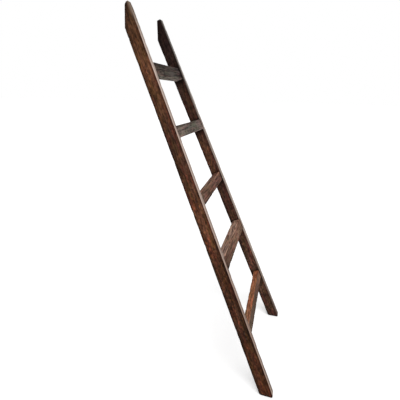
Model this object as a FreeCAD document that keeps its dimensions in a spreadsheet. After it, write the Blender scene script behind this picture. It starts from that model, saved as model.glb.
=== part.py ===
import FreeCAD, Part
import os
import Sketcher

# Decorative leaning ladder of old timber: two rails that draw together towards the top,
# five flat rungs let into them, and two cut nails through the rail into each rung end.
# It is drawn in the ladder's own plane, X across, Y from front to rear, Z up the middle,
# and then leaned back until its feet lie level and its top cuts stand plumb.

# Driving sizes, in millimetres and degrees
SIZES = {
    # rails
    "rail_length": 1524,
    "rail_depth": 47,
    "rail_thickness": 27,
    "foot_clear_width": 419,
    "tip_clear_width": 252,
    "lean_angle": 22.5,
    "tip_width": 16,
    "left_tip_rise": 4,
    "left_tip_radius": 4,
    "left_shoulder_radius": 15,
    "right_tip_radius": 2.5,
    "right_shoulder_radius": 2.5,
    "toe_radius": 6,
    "heel_radius": 9,
    "rail_edge_radius": 1.5,
    # housings that the rung ends stand in
    "housing_depth": 8,
    "housing_clearance": 0.2,
    # places of the top rung below the tips and of the lowest one above the feet;
    # the others stand evenly between them, but for the shift that each was nailed on with
    "top_rung_drop": 241,
    "low_rung_rise": 254,
    "rung_2_shift": 15,
    "rung_3_shift": 10,
    "rung_4_shift": 17,
    # rungs, from the top one down: section, step back from the rails' front edges
    # and rise of the right end
    "rung_edge_radius": 1.2,
    "rung_1_height": 50,
    "rung_1_depth": 31,
    "rung_1_setback": 6,
    "rung_1_tilt": -1,
    "rung_2_height": 46,
    "rung_2_depth": 34,
    "rung_2_tilt": -0.3,
    "rung_3_height": 40,
    "rung_3_depth": 30,
    "rung_3_setback": 6,
    "rung_3_tilt": 2.2,
    "rung_4_height": 49,
    "rung_4_depth": 35,
    "rung_4_tilt": 0.5,
    "rung_5_height": 38,
    "rung_5_depth": 25,
    "rung_5_setback": 6,
    "rung_5_tilt": 0.2,
    # cut nails, each stamped from plate: a tapering shank with a lug on both sides for a head
    "nail_length": 60,
    "nail_thickness": 2.6,
    "nail_width": 4.6,
    "nail_point_width": 2,
    "nail_head_width": 7.5,
    "nail_head_thickness": 2,
    "nail_set": 0.3,
    "nail_clearance": 0.2,
    "nail_spacing": 20,
}

LEFT, RIGHT = -1, 1
SIDE_NAMES = {LEFT: "left", RIGHT: "right"}
RUNGS = ("rung_1", "rung_2", "rung_3", "rung_4", "rung_5")

# How closely an edge or a face has to match the place or direction it is looked for by
TOLERANCE = 0.01

doc = FreeCAD.newDocument("ladder")
sheet = doc.addObject("Spreadsheet::Sheet", "sizes")
for row, (size_name, size) in enumerate(SIZES.items(), start=1):
    sheet.set(f"A{row}", size_name)
    sheet.set(f"B{row}", str(size))
    sheet.setAlias(f"B{row}", size_name)
doc.recompute()

# Working formulas on the sheet's cells
LEAN_SLOPE = "tan(sizes.lean_angle * 1deg)"
SPLAY_SLOPE = "((sizes.foot_clear_width - sizes.tip_clear_width) / (2 * sizes.rail_length))"
SPLAY_ANGLE = f"atan({SPLAY_SLOPE})"
# a distance square to a splayed face, measured level across the ladder
SPLAY_STRETCH = f"sqrt(1 + {SPLAY_SLOPE}^2)"
HALF_FOOT_OUTER = f"(sizes.foot_clear_width / 2 + sizes.rail_thickness * {SPLAY_STRETCH})"
HALF_TIP_OUTER = f"(sizes.tip_clear_width / 2 + sizes.rail_thickness * {SPLAY_STRETCH})"
HALF_FOOT_FLOOR = f"(sizes.foot_clear_width / 2 + sizes.housing_depth * {SPLAY_STRETCH})"
HEEL_HEIGHT = f"(sizes.rail_depth * {LEAN_SLOPE})"
PLUMB_CUT_LOW = f"(sizes.rail_length - (sizes.rail_depth - sizes.tip_width) / {LEAN_SLOPE})"
TOP_RUNG = "(sizes.rail_length - sizes.top_rung_drop)"
RUNG_PITCH = f"(({TOP_RUNG} - sizes.low_rung_rise) / {len(RUNGS) - 1})"
NAIL_SEAT = "(sizes.nail_set + sizes.nail_head_thickness)"

# The leaned ladder stands on the origin's level, centred between its toes and its plumb top cuts
TOE_REACH = "(sizes.toe_radius * (1 / tan((90 - sizes.lean_angle) / 2 * 1deg) - 1))"
TIP_REACH = (
    "(sizes.rail_length * sin(sizes.lean_angle * 1deg)"
    " + sizes.tip_width * cos(sizes.lean_angle * 1deg))"
)
LEANED = f"placement(vector(0; -({TOE_REACH} + {TIP_REACH}) / 2; 0); rotationx(-sizes.lean_angle))"


def add_body(label):
    """A sub-part that is drawn in the ladder's plane and leaned into place."""
    body = doc.addObject("PartDesign::Body", label)
    body.Label = label
    body.setExpression("Placement", LEANED)
    return body


def add_sketch(body, name, plane, offset=None):
    """A sketch on one of the body's own planes, moved or turned by an offset formula."""
    planes = {feature.Role: feature for feature in body.Origin.OriginFeatures}
    sketch = body.newObject("Sketcher::SketchObject", f"{body.Label}_{name}")
    sketch.AttachmentSupport = [(planes[plane], "")]
    sketch.MapMode = "FlatFace"
    if offset:
        sketch.setExpression("AttachmentOffset", offset)
    return sketch


def place_point(sketch, line, corner):
    """Hold the start of a sketch's line at a corner given by two formulas."""
    for axis, formula in zip(("DistanceX", "DistanceY"), corner):
        value = float(sheet.evalExpression(formula))
        index = sketch.addConstraint(Sketcher.Constraint(axis, -1, 1, line, 1, value))
        sketch.setExpression(f"Constraints[{index}]", formula)


def draw_polygon(sketch, corners):
    """A closed outline through corners given by formulas."""
    points = [
        FreeCAD.Vector(*(float(sheet.evalExpression(formula)) for formula in corner))
        for corner in corners
    ]
    lines = []
    for start, end in zip(points, points[1:] + points[:1]):
        lines.append(sketch.addGeometry(Part.LineSegment(start, end), False))
    for line, following in zip(lines, lines[1:] + lines[:1]):
        sketch.addConstraint(Sketcher.Constraint("Coincident", line, 2, following, 1))
    for line, corner in zip(lines, corners):
        place_point(sketch, line, corner)


def pad_to_rear(body, sketch, depth):
    """Thicken a front view towards the rear."""
    pad = body.newObject("PartDesign::Pad", f"{sketch.Name}_pad")
    pad.Profile = sketch
    pad.Reversed = True
    pad.setExpression("Length", depth)
    return pad


def add_fillet(body, name, base, edges, radius):
    """Round some edges of the latest feature."""
    fillet = body.newObject("PartDesign::Fillet", f"{body.Label}_{name}")
    fillet.Base = (base, edges)
    fillet.setExpression("Radius", radius)
    doc.recompute()
    return fillet


def edges_through(feature, point):
    """Names of the edges that run straight across the ladder through a point of the side view."""
    depth, height = (float(sheet.evalExpression(formula)) for formula in point)
    names = []
    for number, edge in enumerate(feature.Shape.Edges, start=1):
        box = edge.BoundBox
        misses = (box.YMin - depth, box.YMax - depth, box.ZMin - height, box.ZMax - height)
        if max(abs(miss) for miss in misses) < TOLERANCE:
            names.append(f"Edge{number}")
    return names


def outline_edges(feature, across):
    """Names of the edges round the feature's faces that look along a direction."""
    outline = []
    for face in feature.Shape.Faces:
        if face.normalAt(0, 0).cross(across).Length < TOLERANCE:
            outline.extend(face.Edges)
    names = []
    for number, edge in enumerate(feature.Shape.Edges, start=1):
        if any(edge.isSame(other) for other in outline):
            names.append(f"Edge{number}")
    return names


def lengthwise_edges(feature, along):
    """Names of the straight edges that run along a direction."""
    names = []
    for number, edge in enumerate(feature.Shape.Edges, start=1):
        run = edge.Vertexes[-1].Point - edge.Vertexes[0].Point
        if run.Length > TOLERANCE and run.normalize().cross(along).Length < TOLERANCE:
            names.append(f"Edge{number}")
    return names


def optional(piece, size):
    """A size that only some pieces have, and that is nothing on the others."""
    name = f"{piece}_{size}"
    return f"sizes.{name}" if name in SIZES else "0"


def rung_point(rung, side, height, reach=HALF_FOOT_FLOOR):
    """Where a line along the rung, a height above its middle, meets a splayed line.

    The splayed line is the floor of the housing, or any line alongside it that stands
    a reach from the ladder's middle at the feet.
    """
    middle = f"{TOP_RUNG} - {RUNGS.index(rung)} * {RUNG_PITCH} + {optional(rung, 'shift')}"
    level = f"({middle} + ({height}))"
    slope = f"tan(sizes.{rung}_tilt * 1deg)"
    across = f"({side} * ({reach} - {SPLAY_SLOPE} * {level}) / (1 + {side} * {SPLAY_SLOPE} * {slope}))"
    return across, f"({level} + {slope} * {across})"


def add_nail_sketch(body, rung, side):
    """A sketch through the middle of a rung, with its height along the rail's outer face."""
    depth = f"({optional(rung, 'setback')} + sizes.{rung}_depth / 2)"
    on_outer_face = (
        f"placement(vector({side} * {HALF_FOOT_OUTER}; 0; -{depth});"
        f" rotationz({side} * {SPLAY_ANGLE}))"
    )
    return add_sketch(body, f"{rung}_{SIDE_NAMES[side]}_nail_view", "XZ_Plane", on_outer_face)


def nail_height(rung, side, step):
    """Middle of the lower (-1) or upper (1) nail of a rung end, measured up the rail's outer face."""
    rung_middle = rung_point(rung, side, "0")[1]
    behind_housing = f"(sizes.rail_thickness - sizes.housing_depth) * {SPLAY_SLOPE}"
    return f"({rung_middle} * {SPLAY_STRETCH} + {behind_housing} + {step} * sizes.nail_spacing / 2)"


def draw_nail(sketch, side, middle, head_start, room):
    """A nail's outline, from the start of its head to its blunt point, with room round it."""
    half_head = f"(sizes.nail_head_width + {room}) / 2"
    half_shank = f"(sizes.nail_width + {room}) / 2"
    half_point = f"(sizes.nail_point_width + {room}) / 2"
    point_end = f"{NAIL_SEAT} + sizes.nail_length + {room}"
    half_outline = [
        (head_start, half_head),
        (NAIL_SEAT, half_head),
        (NAIL_SEAT, half_shank),
        (point_end, half_point),
    ]
    upper = [(f"{-side} * ({inward})", f"{middle} + {half}") for inward, half in half_outline]
    lower = [(f"{-side} * ({inward})", f"{middle} - {half}") for inward, half in half_outline]
    draw_polygon(sketch, upper + lower[::-1])


def cut_nail_slots(body, rung, side):
    """The slots that the two nails of a rung end fill, in a rail or in the rung itself."""
    sketch = add_nail_sketch(body, rung, side)
    for step in (-1, 1):
        middle = nail_height(rung, side, step)
        draw_nail(sketch, side, middle, "-sizes.nail_clearance", "sizes.nail_clearance")
    slots = body.newObject("PartDesign::Pocket", f"{sketch.Name}_slots")
    slots.Profile = sketch
    slots.SideType = "Symmetric"
    slots.setExpression("Length", "sizes.nail_thickness + sizes.nail_clearance")


def cut_housing(body, rung, side):
    """A stopped housing that follows the rung's end, open to the inside of the ladder."""
    clearance = "sizes.housing_clearance"
    top = f"(sizes.{rung}_height / 2 + {clearance})"
    bottom = f"(-{top})"
    mouth = f"({HALF_FOOT_FLOOR} - sizes.rail_thickness * {SPLAY_STRETCH})"
    start = f"placement(vector(0; 0; {clearance} - {optional(rung, 'setback')}); rotationx(0))"
    sketch = add_sketch(body, f"{rung}_housing", "XZ_Plane", start)
    draw_polygon(sketch, [
        rung_point(rung, side, bottom),
        rung_point(rung, side, bottom, mouth),
        rung_point(rung, side, top, mouth),
        rung_point(rung, side, top),
    ])
    housing = body.newObject("PartDesign::Pocket", f"{sketch.Name}_pocket")
    housing.Profile = sketch
    housing.setExpression("Length", f"sizes.{rung}_depth + 2 * {clearance}")


def build_rail(side):
    """A splayed rail, level at the foot, plumb behind the tip, housed for its five rungs."""
    name = SIDE_NAMES[side]
    body = add_body(f"{name}_rail")
    rise = optional(name, "tip_rise")
    tip_height = f"(sizes.rail_length + {rise})"
    tip_width = f"(sizes.tip_width - {rise} * {LEAN_SLOPE})"

    front_view = add_sketch(body, "front_view", "XZ_Plane")
    draw_polygon(front_view, [
        (f"{side} * sizes.foot_clear_width / 2", "0"),
        (f"{side} * {HALF_FOOT_OUTER}", "0"),
        (f"{side} * ({HALF_TIP_OUTER} - {SPLAY_SLOPE} * {rise})", tip_height),
        (f"{side} * (sizes.tip_clear_width / 2 - {SPLAY_SLOPE} * {rise})", tip_height),
    ])
    pad_to_rear(body, front_view, "sizes.rail_depth")

    end_cuts = add_sketch(body, "end_cuts", "YZ_Plane")
    draw_polygon(end_cuts, [("0", "0"), ("sizes.rail_depth", "0"), ("sizes.rail_depth", HEEL_HEIGHT)])
    draw_polygon(end_cuts, [
        (tip_width, tip_height),
        ("sizes.rail_depth", tip_height),
        ("sizes.rail_depth", PLUMB_CUT_LOW),
    ])
    cut_ends = body.newObject("PartDesign::Pocket", f"{body.Label}_end_cut")
    cut_ends.Profile = end_cuts
    cut_ends.Type = "ThroughAll"
    cut_ends.SideType = "Symmetric"
    doc.recompute()

    rounded = cut_ends
    for corner, point in (
        ("toe", ("0", "0")),
        ("heel", ("sizes.rail_depth", HEEL_HEIGHT)),
        (f"{name}_tip", ("0", tip_height)),
        (f"{name}_shoulder", (tip_width, tip_height)),
    ):
        edges = edges_through(rounded, point)
        rounded = add_fillet(body, f"{corner}_round", rounded, edges, f"sizes.{corner}_radius")
    splay = float(sheet.evalExpression(SPLAY_SLOPE))
    across = FreeCAD.Vector(1, 0, side * splay).normalize()
    add_fillet(body, "edges", rounded, outline_edges(rounded, across), "sizes.rail_edge_radius")

    for rung in RUNGS:
        cut_housing(body, rung, side)
        cut_nail_slots(body, rung, side)
    return body


def build_rung(rung):
    """A flat rung whose ends are cut to the splay of the rails and slotted by the nails."""
    body = add_body(rung)
    start = f"placement(vector(0; 0; -{optional(rung, 'setback')}); rotationx(0))"
    front_view = add_sketch(body, "front_view", "XZ_Plane", start)
    top = f"(sizes.{rung}_height / 2)"
    bottom = f"(-{top})"
    draw_polygon(front_view, [
        rung_point(rung, LEFT, bottom),
        rung_point(rung, RIGHT, bottom),
        rung_point(rung, RIGHT, top),
        rung_point(rung, LEFT, top),
    ])
    bar = pad_to_rear(body, front_view, f"sizes.{rung}_depth")
    doc.recompute()
    slope = float(sheet.evalExpression(f"tan(sizes.{rung}_tilt * 1deg)"))
    along = FreeCAD.Vector(1, 0, slope).normalize()
    add_fillet(body, "edges", bar, lengthwise_edges(bar, along), "sizes.rung_edge_radius")
    for side in (LEFT, RIGHT):
        cut_nail_slots(body, rung, side)
    return body


def build_nails(rung, side):
    """The pair of cut nails through a rail into one rung end, heads set just under the face."""
    body = add_body(f"{rung}_{SIDE_NAMES[side]}_nails")
    sketch = add_nail_sketch(body, rung, side)
    draw_nail(sketch, side, nail_height(rung, side, -1), "sizes.nail_set", "0")
    nail = body.newObject("PartDesign::Pad", f"{body.Label}_nail")
    nail.Profile = sketch
    nail.SideType = "Symmetric"
    nail.setExpression("Length", "sizes.nail_thickness")
    pair = body.newObject("PartDesign::LinearPattern", f"{body.Label}_pair")
    pair.Originals = [nail]
    pair.Direction = (sketch, ["V_Axis"])
    pair.setExpression("Length", "sizes.nail_spacing")
    pair.Occurrences = 2
    body.Tip = pair
    return body


sub_parts = [build_rail(side) for side in (LEFT, RIGHT)]
for rung_name in RUNGS:
    sub_parts.append(build_rung(rung_name))
    for rail_side in (LEFT, RIGHT):
        sub_parts.append(build_nails(rung_name, rail_side))
doc.recompute()

for item in doc.Objects:
    if "Invalid" in item.State or "Error" in item.State:
        raise RuntimeError(f"{item.Label} did not build: {item.State}")
for part in sub_parts:
    if part.Shape.isNull() or not part.Shape.isValid():
        raise RuntimeError(f"{part.Label} has no valid solid")

os.makedirs("parts", exist_ok=True)
for part in sub_parts:
    part.Shape.exportStep(f"parts/{part.Label}.step")
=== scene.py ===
import math
import random
from contextlib import contextmanager

import bmesh
import bpy
from mathutils import Matrix, Vector


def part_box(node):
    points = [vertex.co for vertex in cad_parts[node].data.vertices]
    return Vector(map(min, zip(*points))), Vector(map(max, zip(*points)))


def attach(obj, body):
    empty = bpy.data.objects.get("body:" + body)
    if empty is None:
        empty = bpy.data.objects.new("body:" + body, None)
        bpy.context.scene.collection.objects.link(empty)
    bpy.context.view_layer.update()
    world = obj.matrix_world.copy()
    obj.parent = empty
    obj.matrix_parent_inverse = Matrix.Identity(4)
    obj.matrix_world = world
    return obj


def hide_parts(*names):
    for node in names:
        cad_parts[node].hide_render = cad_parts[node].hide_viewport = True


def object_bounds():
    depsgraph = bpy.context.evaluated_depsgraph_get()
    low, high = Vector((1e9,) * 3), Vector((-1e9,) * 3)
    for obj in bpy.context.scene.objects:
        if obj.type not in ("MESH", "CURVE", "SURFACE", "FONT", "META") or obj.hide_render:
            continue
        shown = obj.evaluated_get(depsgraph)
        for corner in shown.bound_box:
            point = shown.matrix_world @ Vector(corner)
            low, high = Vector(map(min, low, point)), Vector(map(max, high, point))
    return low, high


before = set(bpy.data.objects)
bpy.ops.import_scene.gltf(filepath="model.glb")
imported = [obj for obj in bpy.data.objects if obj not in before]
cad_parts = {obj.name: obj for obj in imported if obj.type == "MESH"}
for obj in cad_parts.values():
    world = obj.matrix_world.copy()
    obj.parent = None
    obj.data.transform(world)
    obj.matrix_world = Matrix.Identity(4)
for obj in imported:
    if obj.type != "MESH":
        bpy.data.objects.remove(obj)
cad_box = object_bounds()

# Decorative leaning ladder of dark old timber, in metres. The pieces are modelled each in its own
# straight frame, first axis across its section, second along its depth or height, third along its
# grain, and then set into the leaning ladder.

SCENE = bpy.context.scene
LEFT, RIGHT = -1, 1
RAIL_NAMES = {LEFT: "left_rail", RIGHT: "right_rail"}

# Sizes of the timber
LEAN = math.radians(22.5)
RAIL_LENGTH = 1.524
RAIL_DEPTH = 0.047
RAIL_THICKNESS = 0.027
FOOT_CLEAR_WIDTH = 0.419
TIP_CLEAR_WIDTH = 0.252
TIP_WIDTH = 0.016
TOE_RADIUS = 0.006
HEEL_RADIUS = 0.009
TIP_RISE = {LEFT: 0.004, RIGHT: 0}
TIP_RADIUS = {LEFT: 0.003, RIGHT: 0.0025}
SHOULDER_RADIUS = {LEFT: 0.015, RIGHT: 0.0025}
# The worn inner front corner of the left tip: how far it reaches across, rearward and down
WORN_CORNER = (0.008, 0.012, 0.040)
RAIL_ARRIS = 0.0018
HOUSING_DEPTH = 0.008
RUNG_ARRIS = 0.0014
# Height, depth and tilt of each rung, from the top one down
RUNGS = {
    "rung_1": (0.050, 0.031, math.radians(-1.0)),
    "rung_2": (0.046, 0.034, math.radians(-0.3)),
    "rung_3": (0.040, 0.030, math.radians(2.2)),
    "rung_4": (0.049, 0.035, math.radians(0.5)),
    "rung_5": (0.038, 0.025, math.radians(0.2)),
}

# How finely the timber is divided across and along its grain, and how much of a rail is scored
# through at its foot and its tip
ACROSS_STEP = 0.0019
ALONG_STEP = 0.0042
FINE_FOOT = 0.05
FINE_TIP = 0.12
# Segments of rounded corners and arrises, and the angle up to which neighbouring faces look smooth
CORNER_SEGMENTS = 5
ARRIS_SEGMENTS = 3
SMOOTH_ANGLE = math.radians(38)

# Room at each end for the saw, round the rungs in the rails, and round the nails in both
SAW_ROOM = 0.04
RUNG_ROOM = 0.0004
NAIL_ROOM = 0.0003

# How near a point has to be to lie on a plane, and to be the same as another
ON_PLANE = 0.0001
SAME_POINT = 0.00001

# The ladder's own plane, X across, Y from front to rear, Z up the middle, leaned back
SPLAY = (FOOT_CLEAR_WIDTH - TIP_CLEAR_WIDTH) / 2 / RAIL_LENGTH
SPLAY_STRETCH = math.hypot(1, SPLAY)
PLUMB_FACE = cad_box[1].y
FRONT = PLUMB_FACE - RAIL_LENGTH * math.sin(LEAN) - TIP_WIDTH * math.cos(LEAN)
LEANED = Matrix.Translation((0, FRONT, 0)) @ Matrix.Rotation(-LEAN, 4, "X")


def rail_frame(side):
    """A rail's straight frame: across, front to rear, and up along the rail from its foot."""
    middle = FOOT_CLEAR_WIDTH / 2 + RAIL_THICKNESS * SPLAY_STRETCH / 2
    foot = Matrix.Translation((side * middle, RAIL_DEPTH / 2, 0))
    return LEANED @ foot @ Matrix.Rotation(-side * math.atan(SPLAY), 4, "Y")


def rung_frame(name):
    """A rung's straight frame: front to rear, up, and along the rung from left to right."""
    low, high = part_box(name)
    middle = LEANED.inverted() @ ((low + high) / 2)
    tilt = RUNGS[name][2]
    upright = Matrix.Translation((0, middle.y, middle.z)) @ Matrix.Rotation(-tilt, 4, "Y")
    grain_last = Matrix(((0, 0, 1, 0), (1, 0, 0, 0), (0, 1, 0, 0), (0, 0, 0, 1)))
    return LEANED @ upright @ grain_last


def rung_number(name):
    """A rung's number, counted from the top."""
    return int(name.split("_")[1])


# Modelling by hand

def alone(piece):
    """Make a piece the only one selected."""
    bpy.ops.object.select_all(action="DESELECT")
    piece.select_set(True)
    bpy.context.view_layer.objects.active = piece


@contextmanager
def editing(piece):
    """Edit mode on one piece, with nothing selected."""
    alone(piece)
    bpy.ops.object.mode_set(mode="EDIT")
    bpy.ops.mesh.select_mode(type="EDGE")
    bpy.ops.mesh.select_all(action="DESELECT")
    yield
    bpy.ops.object.mode_set(mode="OBJECT")


def choose_edges(piece, test):
    """Select the edges of the piece in edit mode whose two ends pass a test."""
    mesh = bmesh.from_edit_mesh(piece.data)
    for edge in mesh.edges:
        edge.select_set(test(*(end.co for end in edge.verts)))
    bmesh.update_edit_mesh(piece.data)


def add_block(name, size, middle):
    """A block of timber as it comes from the saw."""
    bpy.ops.mesh.primitive_cube_add(size=1, location=middle)
    block = bpy.context.object
    block.name = name
    block.scale = size
    alone(block)
    bpy.ops.object.transform_apply(location=True, rotation=True, scale=True)
    return block


def saw_off(point, normal):
    """Cut away what lies in front of a plane and close the cut."""
    bpy.ops.mesh.select_all(action="SELECT")
    bpy.ops.mesh.bisect(plane_co=point, plane_no=normal, use_fill=True, clear_outer=True)


def divide(axis, start, stop, step):
    """Score the piece in edit mode with even cuts square to an axis."""
    count = math.ceil((stop - start) / step)
    for number in range(1, count):
        bpy.ops.mesh.select_all(action="SELECT")
        point = Vector(axis) * (start + (stop - start) * number / count)
        bpy.ops.mesh.bisect(plane_co=point, plane_no=axis)


def divide_across(half_section, margin):
    """Score the piece in edit mode on all four faces, but for a margin along its arrises."""
    for axis, half in zip(((1, 0, 0), (0, 1, 0)), half_section):
        divide(axis, -half + margin, half - margin, ACROSS_STEP)


def divide_along(piece, start, stop, step):
    """Divide the stretch between two scored rings evenly along the grain."""
    middle = (start + stop) / 2
    choose_edges(piece, lambda a, b: min(a.z, b.z) < middle < max(a.z, b.z))
    bpy.ops.mesh.subdivide(number_cuts=math.ceil((stop - start) / step) - 1)


def round_edges(piece, test, reach, segments):
    """Round the edges that pass a test, starting a reach from each."""
    choose_edges(piece, test)
    bpy.ops.mesh.bevel(offset=reach, segments=segments, profile=0.5, affect="EDGES")


def fillet_reach(radius, opening):
    """How far from a corner of some opening angle a rounding of a radius starts."""
    return radius / math.tan(opening / 2)


def apply_modifiers(piece):
    """Make the piece's modifiers part of its mesh."""
    alone(piece)
    for modifier in list(piece.modifiers):
        bpy.ops.object.modifier_apply(modifier=modifier.name)


def set_in_place(piece, place):
    """Move a piece from its straight frame into the ladder, with its place in its mesh."""
    piece.matrix_world = place
    alone(piece)
    bpy.ops.object.transform_apply(location=True, rotation=True, scale=True)


# Wear

def cloud(name, size, detail, low, high):
    """A patchy texture that is nothing below a level and full above another."""
    texture = bpy.data.textures.new(name, "CLOUDS")
    texture.noise_scale = size
    texture.noise_depth = detail
    texture.use_color_ramp = True
    for stop, (place, grey) in zip(texture.color_ramp.elements, ((low, 0), (high, 1))):
        stop.position = place
        stop.color = (grey, grey, grey, 1)
    return texture


SWELL = cloud("slow_swell", size=0.09, detail=1, low=0.15, high=0.85)
FIBRES = cloud("raised_fibres", size=0.0022, detail=2, low=0.2, high=0.8)
NICKS = cloud("arris_nicks", size=0.011, detail=2, low=0.56, high=0.74)
SWELL_HEIGHT = 0.0007
FIBRE_HEIGHT = 0.00035
NICK_DEPTH = 0.0022
NICK_REACH = 0.004
SWELL_STRETCH = 3
FIBRE_STRETCH = 26
NICK_STRETCH = 2.2
GRAIN_STARTS = (1, 9)
RAIL_WEAR_SEED = 11
RAIL_CRACK_SEED = 21
RAIL_CRACKS = 12
# Cracks: place along the piece and across its face as shares, sizes in metres
CRACK_ALONG = (0.06, 0.94)
CRACK_ACROSS = (-0.7, 0.7)
CRACK_HALF_LENGTH = (0.02, 0.09)
CRACK_HALF_WIDTH = (0.0003, 0.0006)
CRACK_DEPTH = (0.002, 0.004)


def weather(piece, half_section, seed):
    """Uneven faces, raised fibres and nicked arrises, different on every piece."""
    half_across, half_depth = half_section
    arrises = piece.vertex_groups.new(name="arrises")
    for point in piece.data.vertices:
        inside = max(half_across - abs(point.co.x), half_depth - abs(point.co.y))
        arrises.add([point.index], max(0, 1 - inside / NICK_REACH), "REPLACE")
    start = random.Random(seed).uniform(*GRAIN_STARTS)
    guides = []
    for texture, height, stretch, group in (
        (SWELL, SWELL_HEIGHT, SWELL_STRETCH, ""),
        (FIBRES, FIBRE_HEIGHT, FIBRE_STRETCH, ""),
        (NICKS, -NICK_DEPTH, NICK_STRETCH, "arrises"),
    ):
        guide = bpy.data.objects.new("grain_guide", None)
        SCENE.collection.objects.link(guide)
        guide.location = (start, 2 * start, 3 * start)
        guide.scale = (1, 1, stretch)
        guides.append(guide)
        wear = piece.modifiers.new(texture.name, "DISPLACE")
        wear.texture = texture
        wear.texture_coords = "OBJECT"
        wear.texture_coords_object = guide
        wear.strength = height
        wear.mid_level = 0 if group else 0.5
        wear.vertex_group = group
    bpy.context.view_layer.update()
    apply_modifiers(piece)
    piece.vertex_groups.clear()
    for guide in guides:
        bpy.data.objects.remove(guide)


def crack(half_length, half_width, depth, place, turn):
    """A thin drying crack: a long lens that is sunk into a face."""
    bpy.ops.mesh.primitive_uv_sphere_add(segments=8, ring_count=24, radius=1)
    lens = bpy.context.object
    lens.scale = (half_width, depth, half_length)
    lens.rotation_euler = (0, 0, turn)
    lens.location = place
    alone(lens)
    bpy.ops.object.transform_apply(location=True, rotation=True, scale=True)
    return lens


def cracks(half_section, length, count, seed):
    """Cracks scattered over the faces of a piece, in its straight frame, as one cutting shape."""
    chance = random.Random(seed)
    half_across, half_depth = half_section
    lenses = []
    for _ in range(count):
        half_length = chance.uniform(*CRACK_HALF_LENGTH)
        along = chance.uniform(*CRACK_ALONG) * length
        depth = chance.uniform(*CRACK_DEPTH)
        half_width = chance.uniform(*CRACK_HALF_WIDTH)
        share = chance.uniform(*CRACK_ACROSS)
        sign = chance.choice((-1, 1))
        if chance.random() < half_depth / (half_across + half_depth):
            place, turn = (sign * half_across, share * half_depth, along), math.pi / 2
        else:
            place, turn = (share * half_across, sign * half_depth, along), 0
        lenses.append(crack(half_length, half_width, depth, place, turn))
    bpy.ops.object.select_all(action="DESELECT")
    for lens in lenses:
        lens.select_set(True)
    bpy.context.view_layer.objects.active = lenses[0]
    bpy.ops.object.join()
    return lenses[0]


def copy_of(nodes, growth):
    """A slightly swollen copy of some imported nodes, as one cutting shape."""
    bpy.ops.object.select_all(action="DESELECT")
    copies = []
    for node in nodes:
        copied = bpy.data.objects.new("cutter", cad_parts[node].data.copy())
        SCENE.collection.objects.link(copied)
        copied.select_set(True)
        copies.append(copied)
    bpy.context.view_layer.objects.active = copies[0]
    bpy.ops.object.join()
    with editing(copies[0]):
        bpy.ops.mesh.select_all(action="SELECT")
        bpy.ops.mesh.remove_doubles(threshold=SAME_POINT)
        bpy.ops.transform.shrink_fatten(value=growth, use_even_offset=True)
    return copies[0]


def carve(piece, cutter):
    """Take a cutting shape out of a piece."""
    cut = piece.modifiers.new("cut", "BOOLEAN")
    cut.operation = "DIFFERENCE"
    cut.solver = "EXACT"
    cut.object = cutter
    apply_modifiers(piece)
    bpy.data.objects.remove(cutter)


# The pieces

def finish_piece(piece, node, material):
    """Smooth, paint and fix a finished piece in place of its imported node."""
    alone(piece)
    bpy.ops.object.shade_smooth_by_angle(angle=SMOOTH_ANGLE)
    piece.data.materials.clear()
    piece.data.materials.append(material)
    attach(piece, "root")
    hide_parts(node)


def local_plane(place, point, normal):
    """A plane of the leaning ladder as a piece's straight frame sees it."""
    back = place.inverted()
    return back @ Vector(point), (back.to_3x3() @ Vector(normal)).normalized()


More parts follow.
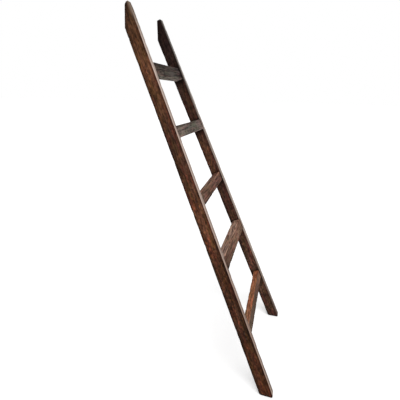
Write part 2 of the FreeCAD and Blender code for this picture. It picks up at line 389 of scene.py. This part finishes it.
def make_rail(side, material):
    """A rail: sawn to length, rounded at toe, heel and tip, worn, and cut for its rungs and nails."""
    name = RAIL_NAMES[side]
    place = rail_frame(side)
    half_section = (RAIL_THICKNESS / 2, RAIL_DEPTH / 2)
    size = (RAIL_THICKNESS, RAIL_DEPTH, RAIL_LENGTH + 2 * SAW_ROOM)
    rail = add_block(f"{name}_timber", size, (0, 0, RAIL_LENGTH / 2))

    floor = local_plane(place, (0, 0, 0), (0, 0, -1))
    plumb = local_plane(place, (0, PLUMB_FACE, 0), (0, 1, 0))
    up_the_ladder = LEANED.to_3x3() @ Vector((0, 0, 1))
    length = RAIL_LENGTH + TIP_RISE[side]
    tip = local_plane(place, LEANED @ Vector((0, 0, length)), up_the_ladder)
    tip_region = RAIL_LENGTH - FINE_TIP

    def front(a):
        return a.y < -half_section[1] + ON_PLANE

    def rear(a):
        return a.y > half_section[1] - ON_PLANE

    def on(plane):
        return lambda a: abs((a - plane[0]).dot(plane[1])) < ON_PLANE

    on_floor, on_plumb, on_tip = on(floor), on(plumb), on(tip)
    with editing(rail):
        for plane in (floor, plumb, tip):
            saw_off(*plane)
        for radius, opening, first, second in (
            (TOE_RADIUS, math.pi / 2 - LEAN, front, on_floor),
            (HEEL_RADIUS, math.pi / 2 + LEAN, rear, on_floor),
            (TIP_RADIUS[side], math.pi / 2, front, on_tip),
            (SHOULDER_RADIUS[side], math.pi / 2 + LEAN, on_plumb, on_tip),
        ):
            round_edges(
                rail,
                lambda a, b: all(test(end) for test in (first, second) for end in (a, b)),
                fillet_reach(radius, opening),
                CORNER_SEGMENTS,
            )
        if side == LEFT:
            across, rearward, down = WORN_CORNER
            corner = Vector((half_section[0], -half_section[1], length - down))
            saw_off(corner, Vector((1 / across, -1 / rearward, 1 / down)).normalized())
        broad_face = half_section[0] - ON_PLANE
        round_edges(
            rail,
            lambda a, b: a.x * b.x > 0 and min(abs(a.x), abs(b.x)) > broad_face,
            RAIL_ARRIS,
            ARRIS_SEGMENTS,
        )
        divide_across(half_section, RAIL_ARRIS)
        divide((0, 0, 1), 0, FINE_FOOT, ALONG_STEP)
        divide((0, 0, 1), tip_region, length, ALONG_STEP)
        for ring in (FINE_FOOT, tip_region):
            bpy.ops.mesh.select_all(action="SELECT")
            bpy.ops.mesh.bisect(plane_co=(0, 0, ring), plane_no=(0, 0, 1))
        divide_along(rail, FINE_FOOT, tip_region, ALONG_STEP)
    weather(rail, half_section, RAIL_WEAR_SEED + side)
    set_in_place(rail, place)
    shapes = cracks(half_section, RAIL_LENGTH, RAIL_CRACKS, RAIL_CRACK_SEED + side)
    set_in_place(shapes, place)
    carve(rail, shapes)
    carve(rail, copy_of(RUNGS, RUNG_ROOM))
    side_name = name.split("_")[0]
    carve(rail, copy_of([f"{rung}_{side_name}_nails" for rung in RUNGS], NAIL_ROOM))
    finish_piece(rail, name, material)


def make_rung(name, material):
    """A rung: a worn flat bar whose ends are cut to the splay of the rails."""
    height, depth, _ = RUNGS[name]
    place = rung_frame(name)
    half_section = (depth / 2, height / 2)
    size = (depth, height, FOOT_CLEAR_WIDTH + 2 * RAIL_THICKNESS)
    rung = add_block(f"{name}_timber", size, (0, 0, 0))
    with editing(rung):
        for side in (LEFT, RIGHT):
            floor_reach = FOOT_CLEAR_WIDTH / 2 + HOUSING_DEPTH * SPLAY_STRETCH
            point = LEANED @ Vector((side * floor_reach, 0, 0))
            normal = LEANED.to_3x3() @ Vector((side, 0, SPLAY))
            saw_off(*local_plane(place, point, normal))
        round_edges(rung, lambda a, b: a.z * b.z < 0, RUNG_ARRIS, ARRIS_SEGMENTS)
        divide_across(half_section, RUNG_ARRIS)
        length = max(point.co.z for point in bmesh.from_edit_mesh(rung.data).verts) * 2
        divide_along(rung, -length / 2, length / 2, ALONG_STEP)
    weather(rung, half_section, rung_number(name))
    set_in_place(rung, place)
    carve(rung, copy_of([f"{name}_{end}_nails" for end in ("left", "right")], NAIL_ROOM))
    with editing(rung):
        bpy.ops.mesh.select_all(action="SELECT")
        bpy.ops.mesh.vert_connect_concave()
    finish_piece(rung, name, material)


# Finishes

class Signal:
    """One value, place or colour in a material, so that shader maths reads as plain sums."""

    def __init__(self, finish, socket):
        self.finish = finish
        self.socket = socket

    def math(self, operation, *values):
        return self.finish.node("ShaderNodeMath", {"operation": operation}, dict(enumerate(values)))

    def __add__(self, other):
        return self.math("ADD", self, other)

    def __sub__(self, other):
        return self.math("SUBTRACT", self, other)

    def __rsub__(self, other):
        return self.math("SUBTRACT", other, self)

    def __mul__(self, other):
        return self.math("MULTIPLY", self, other)

    def __truediv__(self, other):
        return self.math("DIVIDE", self, other)

    def __pow__(self, other):
        return self.math("POWER", self, other)

    def __rpow__(self, other):
        return self.math("POWER", other, self)

    def __neg__(self):
        return self.math("MULTIPLY", self, -1)

    def __abs__(self):
        return self.math("ABSOLUTE", self)

    __radd__ = __add__
    __rmul__ = __mul__

    def larger(self, other):
        return self.math("MAXIMUM", self, other)

    def smaller(self, other):
        return self.math("MINIMUM", self, other)

    def sine(self):
        return self.math("SINE", self)


class Finish:
    """A procedural material that is built up node by node."""

    def __init__(self, name):
        self.material = bpy.data.materials.new(name)
        self.material.use_nodes = True
        self.tree = self.material.node_tree
        self.shader = self.tree.nodes["Principled BSDF"]

    def feed(self, socket, value):
        if isinstance(value, Signal):
            self.tree.links.new(value.socket, socket)
        else:
            socket.default_value = value

    def node(self, kind, settings, inputs, output=0):
        """A node of a kind, with its settings made first and its sockets then set or linked."""
        made = self.tree.nodes.new(kind)
        for name, value in settings.items():
            if name == "stops":
                set_stops(made.color_ramp.elements, value)
            else:
                setattr(made, name, value)
        for socket, value in inputs.items():
            self.feed(made.inputs[socket], value)
        return Signal(self, made.outputs[output])

    def set(self, **inputs):
        for name, value in inputs.items():
            self.feed(self.shader.inputs[name.replace("_", " ")], value)

    def blend(self, share, below, above):
        colours = {"data_type": "RGBA"}
        return self.node("ShaderNodeMix", colours, {0: share, 6: below, 7: above}, 2)

    def tint(self, share, below, factor):
        colours = {"data_type": "RGBA", "blend_type": "MULTIPLY"}
        return self.node("ShaderNodeMix", colours, {0: share, 6: below, 7: (*factor, 1)}, 2)

    def shade(self, below, factor):
        scaled = {"operation": "SCALE"}
        return self.node("ShaderNodeVectorMath", scaled, {0: below, "Scale": factor})

    def ramp(self, value, tones):
        stops = [(place, colour(*tone)) for place, tone in tones]
        return self.node("ShaderNodeValToRGB", {"stops": stops}, {0: value})

    def smooth(self, value, start, stop):
        steps = {"interpolation_type": "SMOOTHSTEP"}
        return self.node("ShaderNodeMapRange", steps, {0: value, 1: start, 2: stop})


def set_stops(elements, stops):
    """Give a colour ramp its stops, from first to last."""
    while len(elements) > 1:
        elements.remove(elements[-1])
    elements[0].position, elements[0].color = stops[0]
    for place, tone in stops[1:]:
        elements.new(place).color = tone


def colour(red, green, blue):
    """A colour from the 0 to 255 values that a screen shows."""
    def linear(value):
        share = value / 255
        return share / 12.92 if share <= 0.04045 else ((share + 0.055) / 1.055) ** 2.4
    return (linear(red), linear(green), linear(blue), 1)


class Timber(Finish):
    """Old timber, with its grain, pores and mottles in the straight frame of one piece."""

    def __init__(self, name, place, half_section, start):
        super().__init__(name)
        self.half_first, self.half_second = half_section
        self.start = start
        self.room = self.node("ShaderNodeTexCoord", {}, {}, "Object")
        moved = {"Location": place.to_translation(), "Rotation": place.to_euler()}
        straight = {"Vector": self.room, **moved}
        self.spot = self.node("ShaderNodeMapping", {"vector_type": "TEXTURE"}, straight)
        self.first, self.second, self.along = (self.axis(self.spot, number) for number in range(3))

    def axis(self, place, number):
        return self.node("ShaderNodeSeparateXYZ", {}, {0: place}, number)

    def noise(self, size, length, detail, start):
        """Noise in patches of a size across the grain and a length along it."""
        shift = (self.start + start, self.start - start, start)
        drawn = {"Vector": self.spot, "Scale": (1 / size, 1 / size, 1 / length), "Location": shift}
        place = self.node("ShaderNodeMapping", {}, drawn)
        return self.node("ShaderNodeTexNoise", {}, {"Vector": place, "Scale": 1, "Detail": detail})

    def patches(self, size, length, low, high, start, detail=3):
        return self.smooth(self.noise(size, length, detail, start), low, high)

    def facing(self, value, half):
        """1 on the face that lies half the section's width out along a value."""
        start, full = FACE_FADE
        return self.smooth(value, half - start, half - full)

    def arris(self, reach):
        """1 along the four long arrises, fading out over a reach on both faces."""
        inside = (self.half_first - abs(self.first)).larger(self.half_second - abs(self.second))
        return self.smooth(inside, reach, ARRIS_FULL)

    def rings(self, pith, spacing):
        """The late wood of growth rings that wander along the grain round an off-set pith."""
        wander = self.noise(**RING_NOISE) * RING_WANDER
        across = (self.first - pith[0]) ** 2 + (self.second - pith[1]) ** 2
        wave = ((across ** 0.5 + wander) * (math.tau / spacing)).sine()
        return (wave * 0.5 + 0.5) ** 2

    def weathered(self, tone, rings, streaked, mottled):
        """The tone broken up by fibres, streaks, mottles, rings and pores, with a matching relief."""
        fibres = self.noise(**FIBRE_NOISE)
        streaks = self.noise(**STREAK_NOISE)
        mottles = self.noise(**MOTTLE_NOISE)
        pores = self.patches(**PORE_PATCHES)
        grain = (fibres - 0.5) * 1.2 + (streaks - 0.5) * 3 - (rings - 0.35) * 0.3
        light = grain * streaked + (mottles - 0.5) * (2.6 * mottled)
        tone = self.shade(tone, 2 ** light.smaller(LIGHTEST_GRAIN))
        tone = self.blend(pores * 0.45, tone, PORE_BROWN)
        relief = fibres * 0.5 + streaks * 0.3 - rings * 0.25 - pores * 0.5
        bump = {"Height": relief, "Strength": 0.55, "Distance": 0.0007}
        self.set(
            Normal=self.node("ShaderNodeBump", {}, bump),
            Roughness=0.55 + 0.3 * fibres,
            Specular_IOR_Level=DULL_SHEEN,
        )
        return tone


DULL_SHEEN = 0.03
LIGHTEST_GRAIN = 0.55
PORE_BROWN = colour(26, 16, 11)
# Near-black for soot specks, and also for painted shade
SOOT_AND_SHADE = colour(20, 12, 9)
# Pale pink and orange of painted highlights along rung arrises
PINK_ARRIS_HIGHLIGHT = colour(158, 136, 128)
ORANGE_ARRIS_HIGHLIGHT = colour(168, 124, 100)

# How far inside a face its own tone starts and is full, and where an arris is fully marked
FACE_FADE = (0.0028, 0.0012)
ARRIS_FULL = 0.0006

# Patterns that all the timber shares, each with its size across the grain and length along it
FIBRE_NOISE = dict(size=0.0011, length=0.035, detail=3, start=5.7)
STREAK_NOISE = dict(size=0.005, length=0.07, detail=3, start=8.3)
MOTTLE_NOISE = dict(size=0.009, length=0.018, detail=2, start=13.9)
PORE_PATCHES = dict(size=0.0009, length=0.012, low=0.58, high=0.7, start=2.9, detail=2)
RING_NOISE = dict(size=0.05, length=0.22, detail=2, start=3.1)
RING_WANDER = 0.014

# Patterns of the rails, and where their grain starts
RUST_PATCHES = dict(size=0.015, length=0.085, low=0.5, high=0.6, start=11.3)
OLIVE_PATCHES = dict(size=0.013, length=0.07, low=0.48, high=0.6, start=17.9)
CLOUD_NOISE = dict(size=0.022, length=0.06, detail=2, start=41.3)
SPECK_PATCHES = dict(size=0.005, length=0.009, low=0.5, high=0.64, start=23.1, detail=2)
FLECK_PATCHES = dict(size=0.0055, length=0.012, low=0.54, high=0.7, start=29.3, detail=2)
BORDER_NOISE = dict(size=0.006, length=0.05, detail=3, start=43.7)
PARTING_PATCHES = dict(size=0.02, length=0.05, low=0.38, high=0.52, start=31.7)
EDGE_NOISE = dict(size=0.0035, length=0.09, detail=3, start=37.3)
RAIL_GRAIN = {LEFT: 2.7, RIGHT: 4.7}
RAIL_PITH = {LEFT: (0.02, 0.031), RIGHT: (-0.024, 0.028)}
RAIL_RINGS = 0.0034
RAIL_STREAKED = 1.2
RAIL_MOTTLED = 1.6

# Tints of the rails
RUST_RED = (1.15, 0.9, 0.94)
OLIVE = (0.98, 1.06, 0.82)
FOXED = (2.0, 1.75, 1.5)
DARK_ARRIS = (0.44, 0.36, 0.35)

# Stretches of a rail, by share of the way up, each from where it starts to where it is full
UPPER = (0.74, 0.9)
LIGHT_REAR_BELOW = (0.08, 0.27)
LIGHT_REAR_ABOVE = (0.44, 0.3)
DARK_REAR = (0.5, 0.66)
MOTTLED = (0.86, 0.5)
BELOW_TIP = (0.99, 0.965)
WEAKER_REAR_SHADE = (0.25, 0.6)
LOW_STRIP = (0.16, 0.06)
BLACKENED = (0.58, 0.9)
SOOTY_TOP = (0.8, 0.93)
RUBBED_TIP = (0.955, 0.985)

# Bands of a rail in metres, each from where it starts to where it is full
HALFWAY = (0.0, 0.006)
BESIDE_FRONT = 0.009
BESIDE_REAR = 0.011
PLUMB_DARKENING = (0.024, 0.0)
FOOT_CONTACT_SHADE = (0.011, 0.002)
PARTING_LINE = (0.0016, 0.0004)
STRIP_BORDER = 0.0008
BLACK_INSIDE = (0.001, -0.011)
WORN_FRONT = (0.0008, 0.0065)
RUBBED_FRONT = (0.009, 0.0)
RUNG_SHADE_REACH = (0.015, -0.001)

# Tones by share of the way up a rail
OUTER_TONES = (
    (0.0, (82, 48, 32)),
    (0.17, (60, 39, 28)),
    (0.34, (68, 42, 30)),
    (0.45, (89, 58, 42)),
    (0.66, (71, 47, 37)),
    (0.84, (88, 57, 41)),
    (1.0, (72, 48, 35)),
)
INNER_TONES = (
    (0.0, (60, 41, 34)),
    (0.2, (80, 56, 46)),
    (0.42, (64, 43, 35)),
    (0.56, (77, 50, 40)),
    (0.76, (56, 37, 30)),
    (0.9, (38, 26, 24)),
    (1.0, (28, 18, 16)),
)
EDGE_TONES = {
    LEFT: (
        (0.0, (176, 154, 140)),
        (0.2, (162, 136, 122)),
        (0.5, (192, 170, 157)),
        (0.9, (208, 188, 176)),
        (0.985, (136, 118, 104)),
    ),
    RIGHT: (
        (0.0, (124, 104, 93)),
        (0.3, (192, 176, 164)),
        (0.7, (176, 162, 152)),
        (0.9, (196, 186, 178)),
    ),
}
# The greyer inner half of each front edge, and how far its border strays
INNER_STRIP = {LEFT: (0.66, 0.67, 0.68), RIGHT: (0.6, 0.58, 0.57)}
STRIP_RAGGED = {LEFT: 0.002, RIGHT: 0.012}


def rung_contact_shade(timber):
    """Painted shade on a rail's inner face around the rungs, reaching furthest under them."""
    rung_shade = None
    for name, (height, depth, _) in RUNGS.items():
        middle = LEANED.inverted() @ rung_frame(name).to_translation()
        above = timber.along - (middle.z * SPLAY_STRETCH + height / 2)
        below = (middle.z * SPLAY_STRETCH - height / 2) - timber.along
        beside = abs(timber.second - (middle.y - RAIL_DEPTH / 2)) - depth / 2
        near = timber.smooth(above.larger(below * 0.4).larger(beside * 0.5), *RUNG_SHADE_REACH)
        rung_shade = near if rung_shade is None else rung_shade.larger(near)
    return rung_shade


def rail_timber(side):
    """Mottled chestnut-brown timber with a pale worn front edge, and painted shade along its rear
    arrises, round the rungs and just above the floor.
    """
    half_thickness, half_depth = RAIL_THICKNESS / 2, RAIL_DEPTH / 2
    name = f"{RAIL_NAMES[side]}_timber"
    timber = Timber(name, rail_frame(side), (half_thickness, half_depth), RAIL_GRAIN[side])
    up = timber.along / RAIL_LENGTH
    outward = timber.first * side
    inner = timber.facing(-outward, half_thickness)
    front = timber.facing(-timber.second, half_depth)

    tone = timber.blend(inner, timber.ramp(up, OUTER_TONES), timber.ramp(up, INNER_TONES))
    upper = timber.smooth(up, *UPPER)
    rusty = timber.patches(**RUST_PATCHES) * (1 - 0.85 * upper)
    tone = timber.tint(rusty, tone, RUST_RED)
    olive = timber.patches(**OLIVE_PATCHES) * (1 - 0.6 * upper * inner)
    tone = timber.tint(olive.larger(0.35 * upper * (1 - inner)), tone, OLIVE)
    clouds = timber.noise(**CLOUD_NOISE) - 0.5
    tone = timber.shade(tone, 2 ** (clouds * 2.4))
    lighter_rear = timber.smooth(up, *LIGHT_REAR_BELOW) * timber.smooth(up, *LIGHT_REAR_ABOVE)
    darker_rear = timber.smooth(up, *DARK_REAR)
    fading = (0.34 * lighter_rear - 0.2 * darker_rear) * (1 - inner)
    tone = timber.shade(tone, 1 + fading * (timber.second / half_depth))
    mottled = timber.smooth(up, *MOTTLED)
    specked = 0.26 + 0.2 * mottled + 0.15 * lighter_rear
    tone = timber.blend(timber.patches(**SPECK_PATCHES) * specked, tone, SOOT_AND_SHADE)
    flecked = 0.5 + 0.4 * mottled + 0.5 * lighter_rear + 0.4 * upper * inner
    tone = timber.tint(timber.patches(**FLECK_PATCHES) * flecked, tone, FOXED)
    rings = timber.rings(RAIL_PITH[side], RAIL_RINGS)
    tone = timber.weathered(tone, rings, RAIL_STREAKED, RAIL_MOTTLED)
    # Painted shade on the inner faces round the rungs
    tone = timber.blend(rung_contact_shade(timber) * inner * 0.9, tone, SOOT_AND_SHADE)

    front_arris = timber.arris(BESIDE_FRONT) * timber.smooth(-timber.second, *HALFWAY)
    below_tip = timber.smooth(up, *BELOW_TIP)
    tone = timber.tint(front_arris * 0.9 * below_tip, tone, DARK_ARRIS)
    # Painted shade along the rear arrises, weaker higher up, and darker towards the plumb face
    rear_arris = timber.arris(BESIDE_REAR) * timber.smooth(timber.second, *HALFWAY)
    before_plumb = PLUMB_FACE - timber.axis(timber.room, 1)
    rear_arris = rear_arris.larger(timber.smooth(before_plumb, *PLUMB_DARKENING))
    tone = timber.blend(rear_arris * (0.9 - 0.3 * timber.smooth(up, *WEAKER_REAR_SHADE)), tone, SOOT_AND_SHADE)

    edge = timber.ramp(up, EDGE_TONES[side])
    border = outward + (timber.noise(**BORDER_NOISE) - 0.5) * STRIP_RAGGED[side]
    half_border = STRIP_BORDER + 0.1 * STRIP_RAGGED[side]
    grey_strip = timber.smooth(border, half_border, -half_border)
    edge = timber.tint(grey_strip, edge, INNER_STRIP[side])
    edge = timber.blend(grey_strip * timber.smooth(up, *LOW_STRIP) * 0.35, edge, SOOT_AND_SHADE)
    parting = timber.smooth(abs(outward), *PARTING_LINE) * timber.patches(**PARTING_PATCHES)
    edge = timber.blend(parting * 0.75, edge, SOOT_AND_SHADE)
    edge = timber.shade(edge, 0.62 + 0.76 * timber.noise(**EDGE_NOISE))
    worn = front * timber.smooth(half_thickness - outward, *WORN_FRONT)
    if side == RIGHT:
        blackened = timber.smooth(up, *BLACKENED) * timber.smooth(border, *BLACK_INSIDE)
        sooty_top = timber.smooth(up, *SOOTY_TOP)
        edge = timber.blend((blackened * 0.95).larger(sooty_top * 0.6), edge, SOOT_AND_SHADE)
    else:
        rubbed = timber.smooth(timber.second + half_depth, *RUBBED_FRONT)
        worn = worn.larger(timber.smooth(up, *RUBBED_TIP) * rubbed * 0.5)
    tone = timber.blend(worn, tone, edge)

    # Painted contact shade on the rail just above the floor
    height = timber.axis(timber.room, 2)
    tone = timber.blend(timber.smooth(height, *FOOT_CONTACT_SHADE) * 0.9, tone, SOOT_AND_SHADE)
    timber.set(Base_Color=tone)
    return timber.material


# Tones along each rung, from its left end to its right, on each of its faces
# The faces also carry painted light and shade: the tops of the lower three rungs lighter, the
# undersides of the top two paler and of the others darker.
RUNG_TONES = {
    "rung_1": {
        "front": ((0.0, (94, 78, 70)), (0.3, (68, 62, 56)), (0.65, (67, 61, 57)), (1.0, (64, 53, 51))),
        "top": ((0.0, (58, 50, 46)), (1.0, (64, 54, 50))),
        "under": ((0.0, (100, 96, 86)), (0.7, (106, 97, 90)), (1.0, (124, 112, 106))),
        "rear": ((0.0, (70, 60, 54)), (1.0, (74, 62, 56))),
    },
    "rung_2": {
        "front": (
            (0.0, (118, 101, 94)),
            (0.35, (88, 82, 76)),
            (0.7, (85, 80, 71)),
            (0.84, (102, 87, 82)),
            (1.0, (88, 74, 69)),
        ),
        "top": ((0.0, (104, 92, 84)), (1.0, (98, 86, 78))),
        "under": ((0.0, (110, 98, 90)), (0.6, (120, 106, 99)), (1.0, (142, 122, 116))),
        "rear": ((0.0, (94, 82, 74)), (1.0, (90, 78, 70))),
    },
    "rung_3": {
        "front": (
            (0.0, (106, 82, 71)),
            (0.35, (94, 68, 55)),
            (0.65, (105, 74, 65)),
            (1.0, (86, 58, 49)),
        ),
        "top": (
            (0.0, (108, 82, 68)),
            (0.35, (124, 96, 78)),
            (0.75, (98, 72, 62)),
            (1.0, (102, 70, 58)),
        ),
        "under": ((0.0, (74, 54, 46)), (1.0, (82, 60, 52))),
        "rear": ((0.0, (86, 62, 52)), (1.0, (90, 66, 56))),
    },
    "rung_4": {
        "front": ((0.0, (86, 63, 51)), (0.3, (100, 74, 61)), (0.6, (124, 93, 78)), (1.0, (98, 74, 60))),
        "top": (
            (0.0, (150, 122, 109)),
            (0.4, (132, 104, 89)),
            (0.78, (160, 129, 114)),
            (1.0, (138, 108, 92)),
        ),
        "under": ((0.0, (74, 58, 50)), (1.0, (84, 64, 54))),
        "rear": ((0.0, (98, 76, 66)), (1.0, (92, 70, 60))),
    },
    "rung_5": {
        "front": (
            (0.0, (116, 93, 80)),
            (0.4, (79, 62, 49)),
            (0.75, (92, 65, 55)),
            (1.0, (128, 93, 74)),
        ),
        "top": ((0.0, (150, 113, 89)), (0.3, (153, 99, 71)), (1.0, (145, 96, 69))),
        "under": ((0.0, (76, 58, 48)), (1.0, (80, 62, 52))),
        "rear": ((0.0, (100, 70, 54)), (1.0, (96, 68, 54))),
    },
}
# Lines along the front arrises of the rungs: which arris, how far the line reaches from it at the
# left and right end, its strength and its tone
# The pale lines are painted highlights.
ARRIS_LINES = {
    "rung_1": (("upper", 0.022, -0.012, 0.75, SOOT_AND_SHADE),),
    "rung_2": (("upper", 0.013, 0.003, 0.45, SOOT_AND_SHADE), ("lower", -0.014, 0.012, 0.6, PINK_ARRIS_HIGHLIGHT)),
    "rung_3": (("upper", 0.004, 0.008, 0.35, ORANGE_ARRIS_HIGHLIGHT), ("lower", 0.016, -0.012, 0.55, SOOT_AND_SHADE)),
    "rung_4": (("lower", 0.016, -0.004, 0.5, SOOT_AND_SHADE), ("upper", 0.005, 0.005, 0.3, ORANGE_ARRIS_HIGHLIGHT)),
    "rung_5": (("lower", 0.02, 0.004, 0.5, SOOT_AND_SHADE),),
}
ARRIS_LINE_FADE = (1.0, 0.4)
THINNEST_LINE = 0.0002
RUNG_STREAKS = {"rung_1": 3.6, "rung_2": 2.4, "rung_3": 3.2, "rung_4": 2.7, "rung_5": 1.6}
RUNG_MOTTLED = 1.4
RUNG_GRAIN = 9.3
RUNG_PITH = (0.018, -0.03)
RUNG_RINGS = 0.003
REDDENED_PATCHES = dict(size=0.012, length=0.06, low=0.5, high=0.62, start=11.3)
GREENED_PATCHES = dict(size=0.01, length=0.05, low=0.5, high=0.62, start=17.9)
REDDENED = (1.14, 0.92, 0.94)
GREENED = (0.88, 0.98, 0.86)
# How far short of the rails the dirt and painted shade on the rung ends start, and how far inside they
# are full
END_DIRT_AND_SHADE = (0.012, 0.001)


def rung_timber(name):
    """Weathered timber of one rung, each face with a tone that holds its wear and painted light and
    shade.
    """
    height, depth, _ = RUNGS[name]
    half_depth, half_height = depth / 2, height / 2
    place = rung_frame(name)
    start = RUNG_GRAIN * rung_number(name)
    timber = Timber(f"{name}_timber", place, (half_depth, half_height), start)
    half_clear = FOOT_CLEAR_WIDTH / 2 - SPLAY * (LEANED.inverted() @ place.to_translation()).z
    share = (timber.along + half_clear) / (2 * half_clear)
    front = timber.facing(-timber.first, half_depth)

    tones = RUNG_TONES[name]
    tone = timber.ramp(share, tones["front"])
    for face, mask in (
        ("rear", timber.facing(timber.first, half_depth)),
        ("under", timber.facing(-timber.second, half_height)),
        ("top", timber.facing(timber.second, half_height)),
    ):
        tone = timber.blend(mask, tone, timber.ramp(share, tones[face]))
    tone = timber.tint(timber.patches(**REDDENED_PATCHES), tone, REDDENED)
    tone = timber.tint(timber.patches(**GREENED_PATCHES), tone, GREENED)
    for arris, left, right, strength, line_tone in ARRIS_LINES[name]:
        upward = timber.second if arris == "upper" else -timber.second
        width = (left + share * (right - left)).larger(THINNEST_LINE)
        line = timber.smooth((half_height - upward) / width, *ARRIS_LINE_FADE) * front
        tone = timber.blend(line * strength, tone, line_tone)
    rings = timber.rings(RUNG_PITH, RUNG_RINGS)
    tone = timber.weathered(tone, rings, RUNG_STREAKS[name], RUNG_MOTTLED)
    # Dirt and painted shade on the rung ends where they go into the rails
    before, past = END_DIRT_AND_SHADE
    ends = timber.smooth(abs(timber.along), half_clear - before, half_clear + past)
    tone = timber.blend(ends * 0.3, tone, SOOT_AND_SHADE)
    timber.set(Base_Color=tone)
    return timber.material


IRON_GREY = colour(46, 42, 40)
IRON_RUST = colour(78, 44, 28)
RUSTED = (0.42, 0.62)


def nail_iron():
    """Old cut-nail iron, dark and half rusted."""
    finish = Finish("nail_iron")
    room = finish.node("ShaderNodeTexCoord", {}, {}, "Object")
    grain = finish.node("ShaderNodeTexNoise", {}, {"Vector": room, "Scale": 700, "Detail": 4})
    rust = finish.smooth(grain, *RUSTED)
    finish.set(
        Base_Color=finish.blend(rust, IRON_GREY, IRON_RUST),
        Metallic=0.9 - 0.8 * rust,
        Roughness=0.5 + 0.35 * rust,
    )
    relief = {"Height": grain, "Strength": 0.4, "Distance": 0.0003}
    finish.set(Normal=finish.node("ShaderNodeBump", {}, relief))
    return finish.material


for rail_side in (LEFT, RIGHT):
    make_rail(rail_side, rail_timber(rail_side))
for rung_name in RUNGS:
    make_rung(rung_name, rung_timber(rung_name))
iron = nail_iron()
for node_name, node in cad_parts.items():
    if node_name.endswith("nails"):
        node.data.materials.clear()
        node.data.materials.append(iron)


# Studio: an even white surround, a broad soft lamp from the front left and a pale floor

AMBIENT = 0.5
LAMP = 0.6 * math.pi
LAMP_FROM = Vector((-0.65, -0.45, 0.75))
LAMP_SPREAD = math.radians(50)
FLOOR_COLOUR = (0.9, 0.9, 0.9, 1)
FLOOR_LIFT = 0.34
FLOOR_SIZE = 60


def seen_directly(finish):
    """1 for rays from the camera or from a mirror or glass, where the surround is plain white."""
    camera = finish.node("ShaderNodeLightPath", {}, {}, "Is Camera Ray")
    glossy = finish.node("ShaderNodeLightPath", {}, {}, "Is Glossy Ray")
    through = finish.node("ShaderNodeLightPath", {}, {}, "Is Transmission Ray")
    return camera.larger(glossy).larger(through)


class Surround(Finish):
    """The world's own nodes."""

    def __init__(self, world):
        world.use_nodes = True
        self.tree = world.node_tree
        self.shader = self.tree.nodes["Background"]


SCENE.world = bpy.data.worlds.new("studio")
surround = Surround(SCENE.world)
surround.set(Color=(1, 1, 1, 1), Strength=AMBIENT + (1 - AMBIENT) * seen_directly(surround))

bpy.ops.mesh.primitive_plane_add(size=FLOOR_SIZE)
floor = bpy.context.object
floor.name = "floor"
pale_floor = Finish("pale_floor")
pale_floor.set(
    Base_Color=FLOOR_COLOUR,
    Roughness=1,
    Specular_IOR_Level=0,
    Emission_Color=pale_floor.blend(seen_directly(pale_floor), (0, 0, 0, 1), (1, 1, 1, 1)),
    Emission_Strength=FLOOR_LIFT,
)
floor.data.materials.append(pale_floor.material)

lamp_data = bpy.data.lights.new("soft_lamp", "SUN")
lamp_data.energy = LAMP
lamp_data.angle = LAMP_SPREAD
lamp = bpy.data.objects.new("soft_lamp", lamp_data)
SCENE.collection.objects.link(lamp)
lamp.rotation_euler = LAMP_FROM.to_track_quat("Z", "Y").to_euler()

# Camera, fitted to the edges of the rails and rungs

LENS = 28
SENSOR = 36
LENS_SHIFT = -0.1
CAMERA_PLACE = (-1.2102, -0.2855, 1.1065)
CAMERA_RIGHT = Vector((0.27678, -0.96086, 0.01196))
CAMERA_UP = Vector((0.20459, 0.07109, 0.97626))
CAMERA_FORWARD = Vector((0.9389, 0.26776, -0.21626))

camera_data = bpy.data.cameras.new("photo_camera")
camera = bpy.data.objects.new("photo_camera", camera_data)
SCENE.collection.objects.link(camera)
SCENE.camera = camera
camera_data.lens = LENS
camera_data.sensor_width = SENSOR
camera_data.shift_y = LENS_SHIFT
turned = Matrix((CAMERA_RIGHT, CAMERA_UP, -CAMERA_FORWARD)).transposed().to_4x4()
camera.matrix_world = Matrix.Translation(CAMERA_PLACE) @ turned
SCENE.view_settings.view_transform = "Standard"
